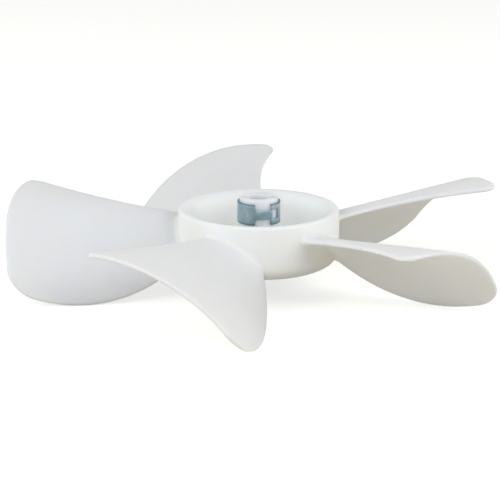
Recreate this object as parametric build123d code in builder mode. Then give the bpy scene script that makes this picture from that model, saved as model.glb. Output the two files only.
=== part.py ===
from build123d import *
import os
from math import cos, radians, sin

# Condenser fan: one plastic moulding, with cambered blades on a hub cup, and the spring clip on its boss.
# Millimetres and degrees. Z is the shaft axis, the cup opens upwards, and Z = 0 is the crest of the cup's rim.

# Whole fan
fan_diameter = 152.4
blade_count = 5
first_blade_azimuth = 251.5

# Hub cup
hub_diameter = 48.4
hub_height = 17.1
hub_wall = 4.3
floor_thickness = 3.4
rim_outer_round = 1.0
rim_inner_depth = 5.0
underside_curve_width = 5.2
underside_curve_height = 4.6
cup_draft = 0.6
cup_corner_round = 4.0

# Boss and shaft bore
bore_diameter = 6.35
boss_wall = 2.7
boss_rise = 3.4
boss_edge_chamfer = 0.4
boss_root_round = 1.5
slit_count = 2
slit_width = 1.1
slit_below_clip = 1.5

# Spring clip, with its arcs as angles about the shaft axis
clip_steel = 0.6
clip_height = 6.3
clip_below_boss_top = 1.2
clip_grip_gap = 0.02
tongue_height = 2.6
tongue_root_azimuth = 260.0
tongue_end_round = 0.6
tongue_lap_arc = 4.0
fork_mouth_azimuth = 306.0
fork_slot_arc = 28.0
fork_slot_clearance = 0.25

# Blade sheet, a patch of a cone: where the cone is and how it slants, for a blade along +X
blade_thickness = 1.3
cone_apex_x = -4.75
cone_apex_y = 1.8
cone_apex_z = -8.7
cone_half_angle = 31.7
cone_dip = 24.4
cone_sweep = -16.1

# Edges of the blade: the turn of each from the cone's crest, and its arc on the plane that touches the cone there
lead_edge_turn = 6.0
lead_arc_radius = 99.0
lead_arc_out = 53.0
lead_arc_depth = 1.2
trail_edge_turn = -80.0
trail_arc_radius = 44.1
trail_arc_out = 48.5
trail_arc_depth = 2.35
lead_corner_round = 1.5
trail_corner_round = 8.0
root_reach = 4.0
tip_overshoot = 5.0
edge_overshoot = 14.0
blank_thickness = 8.0

# Sizes that follow from those above
fan_radius = fan_diameter / 2
hub_radius = hub_diameter / 2
rim_crest_radius = hub_radius - rim_outer_round
cup_radius = hub_radius - hub_wall
floor_top = floor_thickness - hub_height
boss_radius = bore_diameter / 2 + boss_wall
clip_radius = boss_radius + clip_grip_gap + clip_steel / 2
clip_top = boss_rise - clip_below_boss_top
clip_middle = clip_top - clip_height / 2
slit_bottom = clip_top - clip_height - slit_below_clip
tongue_end_azimuth = fork_mouth_azimuth + tongue_lap_arc
sheet_start = hub_radius - cone_apex_x - root_reach
sheet_end = fan_radius - cone_apex_x + tip_overshoot
sheet_turn = lead_edge_turn - trail_edge_turn + 2 * edge_overshoot
cone_apex = Vector(cone_apex_x, cone_apex_y, cone_apex_z)
cone_direction = Vector(1, 0, 0).rotate(Axis.Y, cone_dip).rotate(Axis.Z, cone_sweep)
crest_direction = Vector(1, 0, 0).rotate(Axis.Y, cone_dip - cone_half_angle).rotate(Axis.Z, cone_sweep)


def radial_plane(azimuth):
    """Upright plane through the shaft axis, with its x axis pointing outwards at an azimuth."""
    outwards = (cos(radians(azimuth)), sin(radians(azimuth)), 0)
    sideways = (sin(radians(azimuth)), -cos(radians(azimuth)), 0)
    return Plane((0, 0, 0), x_dir=outwards, z_dir=sideways)


def touching_plane(turn):
    """Plane that touches the blade's cone at a turn from its crest: x along the cone, y towards the trailing edge."""
    outwards = crest_direction.rotate(Axis((0, 0, 0), cone_direction), turn)
    sideways = outwards.cross(cone_direction)
    return Plane(cone_apex, x_dir=outwards, z_dir=outwards.cross(sideways))


lead_plane = touching_plane(lead_edge_turn)
trail_plane = touching_plane(trail_edge_turn)
strip_end_plane = touching_plane(trail_edge_turn - edge_overshoot)
strip_plane = Plane(cone_apex, x_dir=strip_end_plane.x_dir, z_dir=-strip_end_plane.y_dir)
cone_axis = Axis(cone_apex, cone_direction)

# The tip circle starts on the far side of the axis, so that its seam keeps clear of the blade
tip_circle_plane = Plane((0, 0, -fan_radius), x_dir=(-1, 0, 0), z_dir=(0, 0, 1))

# One blade along +X: a thick conical blank is cut to its outline and rounded at its corners, then thinned to a sheet
with BuildPart() as blade:
    with BuildSketch(strip_plane):
        with Locations((sheet_start, 0)):
            Rectangle(sheet_end - sheet_start, blank_thickness, align=(Align.MIN, Align.CENTER))
    revolve(axis=cone_axis, revolution_arc=sheet_turn)
    with BuildSketch(tip_circle_plane):
        Circle(fan_radius)
    extrude(amount=fan_diameter, mode=Mode.INTERSECT)
    with BuildSketch(trail_plane):
        with Locations((trail_arc_out, trail_arc_depth - trail_arc_radius)):
            Circle(trail_arc_radius)
    extrude(amount=fan_radius, both=True, mode=Mode.INTERSECT)
    with BuildSketch(lead_plane):
        with Locations((lead_arc_out, lead_arc_depth - lead_arc_radius)):
            Circle(lead_arc_radius)
    extrude(amount=fan_radius, both=True, mode=Mode.SUBTRACT)
    tip_edges = blade.faces().sort_by(Axis.X)[-1].edges()
    fillet(tip_edges.sort_by(Axis.Y)[0], lead_corner_round)
    tip_edges = blade.faces().sort_by(Axis.X)[-1].edges()
    fillet(tip_edges.sort_by(Axis.Y)[-1], trail_corner_round)
    with BuildSketch(strip_plane):
        with Locations((sheet_start, 0)):
            Rectangle(sheet_end - sheet_start, blade_thickness, align=(Align.MIN, Align.CENTER))
    revolve(axis=cone_axis, revolution_arc=sheet_turn, mode=Mode.INTERSECT)

# Moulding: hub and blades, hollowed round the boss, which then gets its upper end, bore and slits
with BuildPart() as fan_moulding:
    with BuildSketch(Plane.XZ):
        with BuildLine():
            under_curve = EllipticalCenterArc(
                (hub_radius - underside_curve_width, underside_curve_height - hub_height),
                underside_curve_width,
                underside_curve_height,
                start_angle=270,
                arc_size=90,
            )
            side = Line(under_curve @ 1, (hub_radius, -rim_outer_round))
            rim = RadiusArc(side @ 1, (rim_crest_radius, 0), -rim_outer_round)
            Polyline(rim @ 1, (0, 0), (0, -hub_height), under_curve @ 0)
        make_face()
    revolve(axis=Axis.Z)
    with PolarLocations(0, blade_count, start_angle=first_blade_azimuth):
        add(blade.part)
    with BuildSketch(Plane.XZ) as cup:
        with BuildLine():
            lip = EllipticalCenterArc(
                (rim_crest_radius, -rim_inner_depth),
                rim_crest_radius - cup_radius,
                rim_inner_depth,
                start_angle=90,
                arc_size=90,
            )
            Polyline(
                lip @ 1,
                (cup_radius - cup_draft, floor_top),
                (boss_radius, floor_top),
                (boss_radius, 0),
                lip @ 0,
            )
        make_face()
        floor_corners = cup.vertices().group_by(Axis.Y)[0].sort_by(Axis.X)
        fillet(floor_corners[-1], cup_corner_round)
        fillet(floor_corners[0], boss_root_round)
    revolve(axis=Axis.Z, mode=Mode.SUBTRACT)
    with BuildSketch():
        Circle(boss_radius)
    extrude(amount=boss_rise)
    chamfer(fan_moulding.faces().sort_by(Axis.Z)[-1].edges(), boss_edge_chamfer)
    with Locations((0, 0, boss_rise)):
        Hole(bore_diameter / 2)
    with BuildSketch(Plane.XY.offset(slit_bottom)):
        with PolarLocations(0, slit_count):
            Rectangle(boss_radius + clip_steel, slit_width, align=(Align.MIN, Align.CENTER))
    extrude(amount=boss_rise - slit_bottom, mode=Mode.SUBTRACT)

# Spring clip: a steel band with a fork at one end, which takes the tongue at the other end
with BuildPart() as shaft_clip:
    with BuildSketch(radial_plane(fork_mouth_azimuth)):
        with Locations((clip_radius, clip_middle)):
            Rectangle(clip_steel, clip_height)
    revolve(axis=Axis.Z, revolution_arc=360 + tongue_root_azimuth - fork_mouth_azimuth)
    with BuildSketch(radial_plane(fork_mouth_azimuth)):
        with Locations((clip_radius, clip_middle)):
            Rectangle(2 * clip_steel, tongue_height + 2 * fork_slot_clearance)
    revolve(axis=Axis.Z, revolution_arc=fork_slot_arc, mode=Mode.SUBTRACT)
    with BuildSketch(radial_plane(tongue_root_azimuth)):
        with Locations((clip_radius, clip_middle)):
            Rectangle(clip_steel, tongue_height)
    revolve(axis=Axis.Z, revolution_arc=tongue_end_azimuth - tongue_root_azimuth)
    across_tongue_end = Axis((0, 0, 0), radial_plane(tongue_end_azimuth).z_dir)
    tongue_end_edges = shaft_clip.edges().filter_by_position(across_tongue_end, -clip_grip_gap, clip_grip_gap)
    tongue_end_edges = tongue_end_edges.sort_by(Axis.Z)
    fillet([tongue_end_edges[0], tongue_end_edges[-1]], tongue_end_round)

fan_moulding.part.label = "fan_moulding"
shaft_clip.part.label = "shaft_clip"
os.makedirs("parts", exist_ok=True)
export_step(fan_moulding.part, "parts/fan_moulding.step")
export_step(shaft_clip.part, "parts/shaft_clip.step")
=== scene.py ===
# %% [markdown]
# # A condenser fan blade
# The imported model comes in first, as a fixed frame in metres. It has two solids: the plastic fan and the
# spring clip round its boss. The looks are built over it, and the frame's own box is kept to compare with.

# %% Load the frame
import bmesh
import bpy
import numpy as np
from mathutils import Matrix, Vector


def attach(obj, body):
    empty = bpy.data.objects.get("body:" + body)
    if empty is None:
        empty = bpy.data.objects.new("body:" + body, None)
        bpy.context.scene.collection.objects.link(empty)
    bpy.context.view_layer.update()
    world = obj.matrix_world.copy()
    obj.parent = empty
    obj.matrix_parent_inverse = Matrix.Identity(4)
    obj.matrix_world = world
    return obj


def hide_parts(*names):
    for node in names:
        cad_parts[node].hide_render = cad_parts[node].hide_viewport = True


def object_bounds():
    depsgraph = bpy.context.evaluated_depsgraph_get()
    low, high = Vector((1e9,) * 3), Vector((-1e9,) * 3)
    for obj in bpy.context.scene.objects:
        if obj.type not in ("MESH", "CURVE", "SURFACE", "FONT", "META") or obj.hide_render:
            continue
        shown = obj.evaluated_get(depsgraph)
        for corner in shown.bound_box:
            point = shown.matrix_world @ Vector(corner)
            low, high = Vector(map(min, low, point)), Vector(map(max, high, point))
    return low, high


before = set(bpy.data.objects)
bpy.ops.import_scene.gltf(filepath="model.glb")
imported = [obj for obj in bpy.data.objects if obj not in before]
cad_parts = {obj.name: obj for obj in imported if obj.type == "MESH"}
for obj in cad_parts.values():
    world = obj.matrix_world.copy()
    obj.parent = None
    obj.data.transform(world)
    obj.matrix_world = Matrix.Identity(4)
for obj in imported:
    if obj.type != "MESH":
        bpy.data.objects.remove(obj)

cad_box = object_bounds()
print("CAD box in mm:", np.round(np.array(cad_box) * 1000, 1).tolist())

# %% [markdown]
# ## From arrays to a mesh
# Each piece is worked out as a numpy array of points in millimetres, on a grid of two parameters. One helper
# turns such an array into a mesh in metres, and another gives the quads of the grid. A row or a column that
# comes back to its start is closed by wrapping the indices round, so that no seam is left open.

# %% Helpers for the meshes
mm = 0.001


def grid_faces(rows, columns, rows_close=False, columns_close=False):
    """Quads between neighbours of a grid, whose point (i, j) has the number i * columns + j."""
    i = np.arange(rows if rows_close else rows - 1)[:, None]
    j = np.arange(columns if columns_close else columns - 1)[None, :]
    below, beside = (i + 1) % rows, (j + 1) % columns
    corners = [i * columns + j, below * columns + j, below * columns + beside, i * columns + beside]
    return np.stack([c + 0 * i + 0 * j for c in corners], -1).reshape(-1, 4)


def shell(name, points, faces):
    """Mesh object from points in millimetres and the faces between them."""
    mesh = bpy.data.meshes.new(name)
    mesh.from_pydata((np.reshape(points, (-1, 3)) * mm).tolist(), [], faces)
    mesh.update()
    made = bpy.data.objects.new(name, mesh)
    bpy.context.scene.collection.objects.link(made)
    print(name, "has", len(mesh.vertices), "points and", len(mesh.polygons), "faces")
    return made


def shade_smooth(piece, sharp_angle):
    """Smooth shading over a piece, except along edges that turn by more than an angle in degrees."""
    piece.data.polygons.foreach_set("use_smooth", np.ones(len(piece.data.polygons), bool))
    piece.data.set_sharp_from_angle(angle=np.radians(sharp_angle))


print("A grid of 3 by 4 points has", len(grid_faces(3, 4)), "quads")

# %% [markdown]
# ## The hub cup
# The hub is a body of revolution: a cup with a thick rounded rim, a rounded underside, and the foot of the boss
# in its middle with the shaft bore through it. A closed profile of radius and height is carried round the axis.
# Quarter ellipses give the rim and the underside, and small arcs soften the other corners.

# %% Sizes of the hub, in millimetres
hub_radius, hub_height = 24.2, 17.1
rim_round, lip_width, lip_depth = 1.0, 3.3, 5.0
under_width, under_height = 5.2, 4.6
cup_radius = hub_radius - rim_round - lip_width
cup_draft, floor_height = 0.6, -13.7
cup_foot_radius = cup_radius - cup_draft
bore_radius, boss_radius, boss_top = 3.175, 5.875, 3.4
slit_width, slit_bottom = 1.1, -5.6
print("The cup's wall is", round(hub_radius - cup_radius, 2), "mm thick, and its floor",
      round(floor_height + hub_height, 2), "mm")

# %% Helpers for profiles


def ellipse_arc(centre, width, height, start, end, steps=12):
    """Points centre + (width * cos a, height * sin a), with the angle a going from start to end."""
    a = np.radians(np.linspace(start, end, steps))
    return np.stack([centre[0] + width * np.cos(a), centre[1] + height * np.sin(a)], -1)


def softened(before, corner, after, radius, steps=8):
    """Arc of a radius that touches the lines from a corner to the points before and after it."""
    before, corner, after = (np.array(p, float) for p in (before, corner, after))
    a, b = before - corner, after - corner
    a, b = a / np.linalg.norm(a), b / np.linalg.norm(b)
    half = np.arccos(np.clip(a @ b, -1, 1)) / 2
    middle = corner + (a + b) / np.linalg.norm(a + b) * radius / np.sin(half)
    first, last = corner + a * radius / np.tan(half) - middle, corner + b * radius / np.tan(half) - middle
    share = np.linspace(0, 1, steps)[:, None]
    opening = np.pi - 2 * half
    return middle + (first * np.sin((1 - share) * opening) + last * np.sin(share * opening)) / np.sin(opening)


def revolved(profile, turns):
    """Points of a profile of (radius, height) carried round the Z axis to each angle of a list of turns."""
    radius, height = profile[:, 0], profile[:, 1]
    return np.stack([np.outer(np.cos(turns), radius), np.outer(np.sin(turns), radius),
                     np.tile(height, (len(turns), 1))], -1)


print("A quarter arc of 2 by 1 ends at", np.round(ellipse_arc((0, 0), 2, 1, 0, 90)[-1], 2).tolist())

# %% The hub as one revolved surface
bore_foot = (bore_radius, -hub_height)
boss_foot = (boss_radius, floor_height)
cup_foot = (cup_foot_radius, floor_height)
hub_profile = np.concatenate([
    softened((bore_radius, 0), bore_foot, (hub_radius, -hub_height), radius=0.4),
    ellipse_arc((hub_radius - under_width, under_height - hub_height), under_width, under_height, 270, 360, 20),
    ellipse_arc((hub_radius - rim_round, -rim_round), rim_round, rim_round, 0, 90, 10),
    ellipse_arc((hub_radius - rim_round, -lip_depth), lip_width, lip_depth, 90, 180, 20)[1:],
    softened((cup_radius, -lip_depth), cup_foot, boss_foot, radius=4.0, steps=12),
    softened(cup_foot, boss_foot, (boss_radius, 0), radius=1.5),
    [(boss_radius, slit_bottom), (bore_radius, slit_bottom)],
])
hub_start = 0.01  # an odd starting angle keeps the hub's points off the boss's, which eases their union
round_the_axis = np.linspace(0, 2 * np.pi, 193)[:-1] + hub_start
hub = shell("hub_cup", revolved(hub_profile, round_the_axis),
            grid_faces(len(round_the_axis), len(hub_profile), True, True).tolist())

# %% [markdown]
# ## The split boss
# Above the cup's floor the boss is split by two slits with parallel walls, so that the clip can squeeze it.
# Each half is the boss's profile carried round less than half a turn. A slit has the same width at every
# radius, so the angle at which the half ends depends on the radius: its sine is half the slit over the radius.
# The foot of each half goes a little way into the hub, so that the two can be joined.

# %% The two halves of the boss
boss_inner, boss_outer = (bore_radius, boss_top), (boss_radius, boss_top)
foot_inset, foot_depth, foot_step = 0.02, 0.3, 0.1
boss_profile = np.concatenate([
    [(boss_radius - foot_inset, slit_bottom - foot_depth)],
    [(boss_radius - foot_inset, slit_bottom + foot_step), (boss_radius, slit_bottom + 2 * foot_step)],
    softened((boss_radius, 0), boss_outer, boss_inner, radius=0.45),
    softened(boss_outer, boss_inner, (bore_radius, 0), radius=0.3),
    [(bore_radius, slit_bottom + 2 * foot_step), (bore_radius + foot_inset, slit_bottom + foot_step)],
    [(bore_radius + foot_inset, slit_bottom - foot_depth)],
])


def boss_half(name, facing):
    """Half of the boss about a facing angle: share runs from one slit wall to the other at each radius."""
    radius, height = boss_profile[:, 0], boss_profile[:, 1]
    gap = np.arcsin(slit_width / 2 / radius)
    share = np.linspace(-1, 1, 61)[:, None]
    turn = facing + share * (np.pi / 2 - gap)
    points = np.stack([radius * np.cos(turn), radius * np.sin(turn), height + 0 * turn], -1)
    rows, columns = turn.shape
    ends = [list(range(columns)), list(range((rows - 1) * columns, rows * columns))[::-1]]
    return shell(name, points, grid_faces(rows, columns, False, True).tolist() + ends)


boss_halves = [boss_half("boss_half_back", np.pi / 2), boss_half("boss_half_front", -np.pi / 2)]

# %% [markdown]
# ## The blades
# A blade is a curved sheet that twists from the hub to the tip. It could be modelled by hand with a subdivided
# sheet, but it turns out to be a patch of a cone, which a formula gives exactly: a point lies at some length
# from the cone's apex, on the line at some turn from the crest. The leading edge is a faint arc and the
# trailing edge a strong one, each in a plane that touches the cone. The tip follows the fan's circle.

# %% The cone that the blades are cut from
fan_radius, blade_half_thickness = 76.15, 0.65
cone_apex = np.array([-4.75, 1.8, -8.7])
cone_half_angle, cone_dip, cone_sweep = np.radians([31.7, 24.4, -16.1])
lead_turn, trail_turn = np.radians([6.0, -80.0])
lead_centre, lead_radius = np.array([53.0, 97.8]), 99.0
trail_centre, trail_radius = np.array([48.5, 41.75]), 44.1
lead_corner, trail_corner = 5.0, 6.4

level = np.array([np.cos(cone_sweep), np.sin(cone_sweep), 0.0])
upright = np.array([0.0, 0.0, 1.0])
cone_axis = np.cos(cone_dip) * level - np.sin(cone_dip) * upright
cone_crest = np.sin(cone_dip) * level + np.cos(cone_dip) * upright
cone_side = np.cross(cone_axis, cone_crest)


def cone_line(turn):
    """Unit vectors along the cone: its axis times cos of the half angle, plus the turned crest times sin."""
    across = np.cos(turn)[..., None] * cone_crest + np.sin(turn)[..., None] * cone_side
    return np.cos(cone_half_angle) * cone_axis + np.sin(cone_half_angle) * across


def cone_normal(turn):
    """Unit vectors out of the cone: the turned crest times cos of the half angle, less its axis times sin."""
    across = np.cos(turn)[..., None] * cone_crest + np.sin(turn)[..., None] * cone_side
    return np.cos(cone_half_angle) * across - np.sin(cone_half_angle) * cone_axis


def length_to_radius(turn, radius):
    """Length along a line of the cone at which it is a radius away from the fan's axis, from a quadratic."""
    line = cone_line(turn)
    a = line[..., 0]**2 + line[..., 1]**2
    b = line[..., 0] * cone_apex[0] + line[..., 1] * cone_apex[1]
    c = cone_apex[0]**2 + cone_apex[1]**2 - radius**2
    return (np.sqrt(b**2 - a * c) - b) / a


def edge_turns(length):
    """Turns of the leading and trailing edge at a length: each plane's offset over length * sin(half angle)."""
    lead, trail = np.zeros_like(length), np.zeros_like(length)
    for _ in range(5):
        along = length * (np.cos(cone_half_angle)**2 + np.sin(cone_half_angle)**2 * np.cos([lead, trail]))
        lead_offset = lead_centre[1] - np.sqrt(lead_radius**2 - (along[0] - lead_centre[0])**2)
        trail_square = np.maximum(trail_radius**2 - (along[1] - trail_centre[0])**2, 1)
        trail_offset = trail_centre[1] - np.sqrt(trail_square)
        lead = np.arcsin(np.clip(lead_offset / (length * np.sin(cone_half_angle)), -0.95, 0.95))
        trail = np.arcsin(np.clip(trail_offset / (length * np.sin(cone_half_angle)), -0.95, 0.95))
    return lead_turn + lead, trail_turn + trail


print("The crest of a blade rises", np.round(np.degrees(cone_half_angle - cone_dip), 1), "degrees from the hub")

# %% [markdown]
# A moulded sheet has rounded edges, and it swells where it joins the hub. So the half thickness follows a
# quarter circle near every free edge, and grows as a parabola close to the hub. The distance to the hub is
# measured from the skin itself, on each side of the sheet. The two sides meet at the edges, and the rows crowd
# together there, so the rounding stays smooth.

# %% One blade as a closed skin
root_swell, root_reach, root_depth = 1.1, 2.2, 2.4
guessed_width = 50.0


def hub_radius_at(height):
    """Radius of the hub's outside: its wall, or the quarter ellipse of its underside below that."""
    share = np.clip((under_height - hub_height - height) / under_height, 0, 1)
    return hub_radius - under_width * (1 - np.sqrt(1 - share**2))


def quarter_round(distance, radius):
    """Height of a quarter circle over the distance from its rim: sqrt(r^2 - (r - d)^2), and r further in."""
    return np.sqrt(radius**2 - (radius - np.clip(distance, 0, radius))**2)


def half_sheet(middle, outwards, to_edge):
    """Step from the middle of the sheet to its skin: rounded near an edge, swollen by a square near the hub."""
    thick = np.full_like(to_edge, blade_half_thickness)
    for _ in range(12):
        skin = middle + thick[..., None] * outwards
        to_hub = np.hypot(skin[..., 0], skin[..., 1]) - hub_radius_at(skin[..., 2])
        thick = blade_half_thickness + root_swell * (1 - np.clip(to_hub / root_reach, 0, 1))**2
    return quarter_round(to_edge, thick)[..., None] * outwards


def blade_points(rows, columns):
    """Upper and under points of a blade, from share s of its span and share c of its chord."""
    s = (1 - np.cos(np.linspace(0, np.pi, rows)))[:, None] / 2
    c = (1 - np.cos(np.linspace(0, np.pi, columns)))[None, :] / 2
    to_tip = (1 - s) * (fan_radius - hub_radius)
    lead_ease = lead_corner - quarter_round(to_tip, lead_corner)
    trail_ease = trail_corner - quarter_round(to_tip, trail_corner)
    width = np.full_like(s, guessed_width)
    turn = lead_turn + (trail_turn - lead_turn) * (c + 0 * s)
    for _ in range(8):
        start = length_to_radius(turn, hub_radius - root_depth)
        length = start + s * (length_to_radius(turn, fan_radius) - start)
        lead, trail = edge_turns(length)
        turn = lead + (trail - lead) * (lead_ease + c * (width - lead_ease - trail_ease)) / width
        middle = cone_apex + length[..., None] * cone_line(turn)
        width = np.linalg.norm(np.diff(middle, axis=1), axis=2).sum(1)[:, None] + lead_ease + trail_ease
    to_edge = np.minimum(np.minimum(c, 1 - c) * width, to_tip)
    return [middle + half_sheet(middle, side * cone_normal(turn), to_edge) for side in (1, -1)]


def blade_skin(name, azimuth, rows=72, columns=64):
    """Closed skin of a blade at an azimuth: rows go over the top and back below, and share the tip's points."""
    upper, under = blade_points(rows, columns)
    loop = np.concatenate([upper, under[:, -2:0:-1]], axis=1)
    cos, sin = np.cos(azimuth), np.sin(azimuth)
    turned = loop @ np.array([[cos, sin, 0], [-sin, cos, 0], [0, 0, 1]])
    around = loop.shape[1]
    faces = grid_faces(rows, around, False, True)
    tip = (rows - 1) * around
    under_tip = faces >= tip + columns
    faces[under_tip] = 2 * (tip + columns - 1) - faces[under_tip]
    used, faces = np.unique(faces, return_inverse=True)
    return shell(name, turned.reshape(-1, 3)[used], faces.reshape(-1, 4).tolist() + [list(range(around))])


first_azimuth, blade_count = 251.5, 5
blade_azimuths = np.radians(first_azimuth + 360.0 / blade_count * np.arange(blade_count))
blades = [blade_skin("blade_%d" % (k + 1), a) for k, a in enumerate(blade_azimuths)]

# %% [markdown]
# ## One moulding
# The fan is one moulding, so its shells become one closed skin. Light then wanders through the plastic from
# the blades into the hub without a dark line at the joint. A Boolean modifier joins each shell to the hub, and
# the joined mesh replaces them. Points that lie within a sliver of each other are merged, and faces without
# area are taken out, so that the skin is closed everywhere.

# %% Join the shells into one moulding
sliver = 0.004 * mm


def joined(name, base, others):
    """Union of closed shells as one new mesh object; the shells are removed."""
    for other in others:
        union = base.modifiers.new(other.name, "BOOLEAN")
        union.operation, union.solver, union.object = "UNION", "EXACT", other
    ready = base.evaluated_get(bpy.context.evaluated_depsgraph_get())
    whole = bpy.data.objects.new(name, bpy.data.meshes.new_from_object(ready))
    for old in [base, *others]:
        bpy.data.objects.remove(old)
    whole.data.name = name
    bpy.context.scene.collection.objects.link(whole)
    cleaned = bmesh.new()
    cleaned.from_mesh(whole.data)
    bmesh.ops.remove_doubles(cleaned, verts=cleaned.verts, dist=sliver)
    bmesh.ops.triangulate(cleaned, faces=[face for face in cleaned.faces if len(face.verts) > 4])
    bmesh.ops.dissolve_degenerate(cleaned, edges=cleaned.edges, dist=sliver)
    cleaned.to_mesh(whole.data)
    cleaned.free()
    return whole


fan = joined("fan_skin", hub, boss_halves + blades)
shade_smooth(fan, 30.0)
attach(fan, "root")
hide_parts("fan_moulding")
sides = np.zeros(len(fan.data.loops), int)
fan.data.loops.foreach_get("edge_index", sides)
print("fan_skin has", len(fan.data.polygons), "faces and", int((np.bincount(sides) != 2).sum()), "open edges")

# %% [markdown]
# ## The spring clip
# The clip is a strip of spring steel, bent round the boss, whose tongue at one end lies in a fork at the other.
# The strip is a grid of azimuth and height on a cylinder, without the cells of the fork's slot and of the
# corners beside the tongue. A Solidify modifier then gives it the steel's thickness, and a small Bevel breaks
# the edges.

# %% The clip as a strip of steel
clip_radius, clip_steel, clip_bottom, clip_top = 6.195, 0.6, -4.1, 2.2
tongue_half, slot_half, tongue_round = 1.3, 1.55, 0.6
fork_mouth, fork_end, tongue_root, tongue_end = 306.0, 334.0, 620.0, 670.0
clip_middle, clip_half = (clip_bottom + clip_top) / 2, (clip_top - clip_bottom) / 2


def clip_strip(name):
    """Strip of azimuth and height at a radius, kept where it is steel, with a rounded end to the tongue."""
    turns = np.concatenate([np.linspace(fork_mouth, fork_end, 13)[:-1],
                            np.linspace(fork_end, tongue_root, 121)[:-1],
                            np.linspace(tongue_root, tongue_end, 25)])
    above = np.array([0.0, 0.5, 1.0, tongue_half, slot_half, 2.35, clip_half])
    heights = clip_middle + np.concatenate([-above[:0:-1], above])
    turn, height = np.meshgrid(np.radians(turns), heights, indexing="ij")
    to_end = (np.radians(tongue_end) - turn) * clip_radius
    narrowed = (tongue_round - quarter_round(to_end, tongue_round)) / tongue_half
    height = clip_middle + (height - clip_middle) * (1 - narrowed)
    points = np.stack([clip_radius * np.cos(turn), clip_radius * np.sin(turn), height], -1)
    faces = grid_faces(*turn.shape)
    at = np.degrees(turn).ravel()[faces].mean(1)
    off = np.abs(height.ravel()[faces].mean(1) - clip_middle)
    steel = np.where(at < fork_end, off > slot_half, np.where(at > tongue_root, off < tongue_half, True))
    used, faces = np.unique(faces[steel], return_inverse=True)
    return shell(name, points.reshape(-1, 3)[used], faces.reshape(-1, 4).tolist())


clip = clip_strip("clip_band")
shade_smooth(clip, 40.0)
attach(clip, "root")
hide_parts("shaft_clip")

# %% Thickness and broken edges of the clip
edge_break, edge_angle = 0.1, 50.0
thickness = clip.modifiers.new("steel thickness", "SOLIDIFY")
thickness.thickness = clip_steel * mm
thickness.offset = 0.0
broken_edges = clip.modifiers.new("broken edges", "BEVEL")
broken_edges.width = edge_break * mm
broken_edges.segments = 2
broken_edges.limit_method = "ANGLE"
broken_edges.angle_limit = np.radians(edge_angle)
print("The steel is", clip_steel, "mm thick, with edges broken by", edge_break, "mm")

# %% [markdown]
# ## Nodes that the finishes share
# Both finishes vary a little over the surface, in colour, in roughness and in relief. Noise on Object
# coordinates drives all three, so the pattern stays on the part from every side. The first helper turns a
# screen colour into linear light. Each of the others adds one node and returns the socket to link on.

# %% Helpers for the materials


def linear(red, green, blue):
    """Colour of a 0 to 255 screen value as the linear light that shaders use, by the sRGB curve."""
    share = np.array([red, green, blue]) / 255
    return (*np.where(share > 0.04045, ((share + 0.055) / 1.055)**2.4, share / 12.92).tolist(), 1.0)


def noise(nodes, links, coordinates, scale, detail):
    """Noise texture of a scale per metre, read at Object coordinates."""
    texture = nodes.new("ShaderNodeTexNoise")
    texture.inputs["Scale"].default_value = scale
    texture.inputs["Detail"].default_value = detail
    links.new(coordinates, texture.inputs["Vector"])
    return texture.outputs["Fac"]


def ramp(nodes, links, factor, low, high):
    """Colour ramp from a low to a high colour over the middle of a noise's range."""
    shade = nodes.new("ShaderNodeValToRGB")
    shade.color_ramp.elements[0].position, shade.color_ramp.elements[0].color = 0.3, low
    shade.color_ramp.elements[1].position, shade.color_ramp.elements[1].color = 0.7, high
    links.new(factor, shade.inputs["Fac"])
    return shade.outputs["Color"]


def spread(nodes, links, factor, low, high):
    """Map Range that carries a noise's middle range to a low and a high value."""
    mapped = nodes.new("ShaderNodeMapRange")
    for socket, value in (("From Min", 0.3), ("From Max", 0.7), ("To Min", low), ("To Max", high)):
        mapped.inputs[socket].default_value = value
    links.new(factor, mapped.inputs["Value"])
    return mapped.outputs["Result"]


def bump(nodes, links, height, strength, depth):
    """Bump of a strength, whose height of 1 stands for a depth in metres."""
    raised = nodes.new("ShaderNodeBump")
    raised.inputs["Strength"].default_value = strength
    raised.inputs["Distance"].default_value = depth
    links.new(height, raised.inputs["Height"])
    return raised.outputs["Normal"]


print("Screen value 236 is", round(linear(236, 236, 236)[0], 3), "in linear light")

# %% [markdown]
# ## The ivory plastic
# The fan is moulded in a milky white plastic with a satin skin. Its colour wanders a little with the flow of
# the melt, and very fine mould texture dulls the gloss. It could be given one plain colour, but the thin
# blades let light through: so the Principled shader scatters light under the surface, with red going furthest,
# which makes the undersides glow warmer than the tops.

# %% Plastic material
plastic = bpy.data.materials.new("ivory_plastic")
plastic.use_nodes = True
nodes, links = plastic.node_tree.nodes, plastic.node_tree.links
skin = nodes["Principled BSDF"]
where = nodes.new("ShaderNodeTexCoord").outputs["Object"]
flow = noise(nodes, links, where, scale=22, detail=3)
sheen = noise(nodes, links, where, scale=160, detail=4)
grain = noise(nodes, links, where, scale=2600, detail=2)
links.new(ramp(nodes, links, flow, linear(235, 236, 234), linear(241, 242, 241)), skin.inputs["Base Color"])
links.new(spread(nodes, links, sheen, low=0.42, high=0.54), skin.inputs["Roughness"])
links.new(bump(nodes, links, grain, strength=0.12, depth=0.04 * mm), skin.inputs["Normal"])
skin.inputs["IOR"].default_value = 1.5
skin.inputs["Specular IOR Level"].default_value = 0.15
skin.inputs["Subsurface Weight"].default_value = 1.0
skin.inputs["Subsurface Radius"].default_value = (1.0, 0.88, 0.66)
skin.inputs["Subsurface Scale"].default_value = 5 * mm
fan.data.materials.append(plastic)
print(plastic.name, "has", len(nodes), "nodes")
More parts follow.
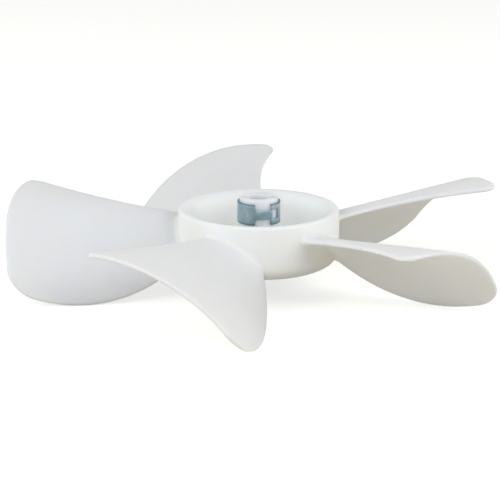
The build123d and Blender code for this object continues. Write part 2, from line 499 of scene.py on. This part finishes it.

# %% [markdown]
# ## The zinc-plated steel
# The clip has a bluish zinc plating with fine lines along the strip from rolling. Noise that changes fast with
# height and slowly round the axis gives those lines, both in the roughness and as a very small bump. Along its
# upper and lower edges the colour is painted darker as shade, by the distance from the strip's middle height.

# %% Steel material
steel = bpy.data.materials.new("zinc_plated_steel")
steel.use_nodes = True
nodes, links = steel.node_tree.nodes, steel.node_tree.links
plating = nodes["Principled BSDF"]
where = nodes.new("ShaderNodeTexCoord").outputs["Object"]
drawn = nodes.new("ShaderNodeMapping")
drawn.inputs["Scale"].default_value = (1, 1, 30)
links.new(where, drawn.inputs["Vector"])
lines = noise(nodes, links, drawn.outputs["Vector"], scale=120, detail=4)
clouds = noise(nodes, links, where, scale=260, detail=3)
links.new(spread(nodes, links, lines, low=0.26, high=0.42), plating.inputs["Roughness"])
links.new(bump(nodes, links, lines, strength=0.15, depth=0.03 * mm), plating.inputs["Normal"])
plating.inputs["Metallic"].default_value = 1.0
clip.data.materials.append(steel)
# The shade painted along the strip's edges is added in the next cell, after these nodes.
print(steel.name, "has", len(nodes), "nodes before its wear")

# %% Painted shade along the edges of the steel
# Painted shade on the strip's upper and lower edges: the colour darkens from the first distance off the middle
# height to the second.
edge_shade_start, edge_shade_end = 2.5, 3.1
height = nodes.new("ShaderNodeSeparateXYZ")
links.new(where, height.inputs["Vector"])
from_middle = nodes.new("ShaderNodeMath")
from_middle.operation = "SUBTRACT"
from_middle.inputs[1].default_value = clip_middle * mm
links.new(height.outputs["Z"], from_middle.inputs[0])
either_way = nodes.new("ShaderNodeMath")
either_way.operation = "ABSOLUTE"
links.new(from_middle.outputs[0], either_way.inputs[0])
near_edge = nodes.new("ShaderNodeMapRange")
near_edge.inputs["From Min"].default_value = edge_shade_start * mm
near_edge.inputs["From Max"].default_value = edge_shade_end * mm
links.new(either_way.outputs[0], near_edge.inputs["Value"])
# Mix of the plating's colour with a darker one near the edges, which is painted shade.
shade_painted = nodes.new("ShaderNodeMix")
shade_painted.data_type = "RGBA"
links.new(near_edge.outputs["Result"], shade_painted.inputs["Factor"])
links.new(ramp(nodes, links, clouds, linear(142, 172, 184), linear(180, 198, 208)), shade_painted.inputs["A"])
# Colour of the painted edge shade.
shade_painted.inputs["B"].default_value = linear(96, 112, 122)
links.new(shade_painted.outputs["Result"], plating.inputs["Base Color"])
# The span printed here is where the edge shade is painted.
print("The plating is worn from", edge_shade_start, "mm to", edge_shade_end, "mm off the middle of the strip")

# %% [markdown]
# ## The floor
# The fan lies on its blades on a sheet of white paper. Paper lit at a plain level would look grey beside the
# fan, so where the camera or a shiny surface sees it, it gets a little light of its own. It then reads as white
# and still keeps the shadow, and it adds next to no light to the fan.

# %% White floor
floor_reach = 4000.0


def seen_directly(nodes, links):
    """1 for a ray of the camera, and for one that a shiny or clear surface sends on, else 0."""
    rays = nodes.new("ShaderNodeLightPath")
    total = rays.outputs["Is Camera Ray"]
    for kind in ("Is Glossy Ray", "Is Transmission Ray"):
        larger = nodes.new("ShaderNodeMath")
        larger.operation = "MAXIMUM"
        links.new(total, larger.inputs[0])
        links.new(rays.outputs[kind], larger.inputs[1])
        total = larger.outputs[0]
    return total


floor_level = cad_box[0][2] / mm
floor_corners = floor_reach * np.array([[-1, -1, 0], [1, -1, 0], [1, 1, 0], [-1, 1, 0]])
floor_points = floor_corners + [0, 0, floor_level]
floor_mesh = bpy.data.meshes.new("floor")
floor_mesh.from_pydata((floor_points * mm).tolist(), [], [[0, 1, 2, 3]])
floor = bpy.data.objects.new("floor", floor_mesh)
bpy.context.scene.collection.objects.link(floor)
paper = bpy.data.materials.new("white_paper")
paper.use_nodes = True
nodes, links = paper.node_tree.nodes, paper.node_tree.links
sheet = nodes["Principled BSDF"]
sheet.inputs["Base Color"].default_value = (0.74, 0.70, 0.62, 1)
sheet.inputs["Roughness"].default_value = 0.9
sheet.inputs["Specular IOR Level"].default_value = 0.0
sheet.inputs["Emission Color"].default_value = (0.92, 0.96, 1, 1)
glow = nodes.new("ShaderNodeMath")
glow.operation = "MULTIPLY"
glow.inputs[1].default_value = 0.62
links.new(seen_directly(nodes, links), glow.inputs[0])
links.new(glow.outputs[0], sheet.inputs["Emission Strength"])
floor_mesh.materials.append(paper)
print("The floor lies", round(floor_level, 2), "mm from the crest of the rim")

# %% [markdown]
# ## The light
# A pale, slightly warm room lights the fan evenly from all sides, and shows as white behind it. Four soft lamps
# stand round the front and the sides, and a low one reaches under the blades. They are slightly cool, as in
# the photograph, where the tops look bluish and the undersides warm.

# %% Pale room
world = bpy.data.worlds.new("pale_room")
bpy.context.scene.world = world
world.use_nodes = True
nodes, links = world.node_tree.nodes, world.node_tree.links
room = nodes["Background"]
room.inputs["Color"].default_value = (1.0, 0.98, 0.85, 1)
room.inputs["Strength"].default_value = 0.23
backdrop = nodes.new("ShaderNodeBackground")
backdrop.inputs["Color"].default_value = (1, 1, 1, 1)
backdrop.inputs["Strength"].default_value = 1.0
either = nodes.new("ShaderNodeMixShader")
links.new(seen_directly(nodes, links), either.inputs["Fac"])
links.new(room.outputs["Background"], either.inputs[1])
links.new(backdrop.outputs["Background"], either.inputs[2])
links.new(either.outputs["Shader"], nodes["World Output"].inputs["Surface"])
print("The room has a strength of", round(room.inputs["Strength"].default_value, 2))

# %% Soft lamps
lamp_size, lamp_colour = 0.6, (0.92, 0.94, 1.0)


def soft_lamp(name, place, power):
    """Square area lamp at a place in metres, with a power in watts, aimed at the hub."""
    lamp = bpy.data.lights.new(name, "AREA")
    lamp.shape, lamp.size, lamp.energy, lamp.color = "SQUARE", lamp_size, power, lamp_colour
    stand = bpy.data.objects.new(name, lamp)
    stand.location = place
    stand.rotation_euler = Vector(place).to_track_quat("Z", "Y").to_euler()
    bpy.context.scene.collection.objects.link(stand)
    print(name, "gives", power, "W")


soft_lamp("right_front_lamp", (0.55, -0.55, 0.6), power=3.5)
soft_lamp("left_front_lamp", (-0.55, -0.55, 0.6), power=3.2)
soft_lamp("right_lamp", (0.9, 0.0, 0.4), power=2.9)
soft_lamp("left_lamp", (-0.9, 0.0, 0.4), power=3.3)
soft_lamp("low_front_lamp", (0.0, -1.0, 0.05), power=1.3)

# %% [markdown]
# ## The camera
# The photograph was taken from a little above the fan with a long lens. Its height, its distance and its focal
# length in pixels were fitted to outlines in the picture, together with the sizes of the hub and the blades.
# Two pixels then place the camera: the middle of the rim, and the pixel that lies straight ahead at that
# elevation. The camera is turned to the middle of the picture, so the lens needs no shift.

# %% Camera
image_width = 500
rim_pixel = (258.7, 207.3)
focal_pixels, distance, elevation = 2377.7, 715.7, np.radians(15.47)
axis_pixel = (282.4, 251.9)
right = np.array([1.0, 0.0, 0.0])
back = np.array([0.0, -np.cos(elevation), np.sin(elevation)])
up = np.array([0.0, np.sin(elevation), np.cos(elevation)])
offset_right = (rim_pixel[0] - axis_pixel[0]) / focal_pixels * distance
offset_up = -(rim_pixel[1] - axis_pixel[1]) / focal_pixels * distance
eye = distance * back - offset_right * right - offset_up * up
centre_right = (image_width / 2 - axis_pixel[0]) / focal_pixels
centre_up = -(image_width / 2 - axis_pixel[1]) / focal_pixels
look = centre_right * right + centre_up * up - back
camera = bpy.data.cameras.new("camera")
camera.sensor_width = 36.0
camera.lens = focal_pixels / image_width * camera.sensor_width
tripod = bpy.data.objects.new("camera", camera)
tripod.location = (eye * mm).tolist()
tripod.rotation_euler = Vector(look).to_track_quat("-Z", "Y").to_euler()
bpy.context.scene.collection.objects.link(tripod)
bpy.context.scene.camera = tripod
bpy.context.scene.view_settings.view_transform = "Standard"
print("Camera at", np.round(eye).tolist(), "mm with a lens of", round(camera.lens), "mm")
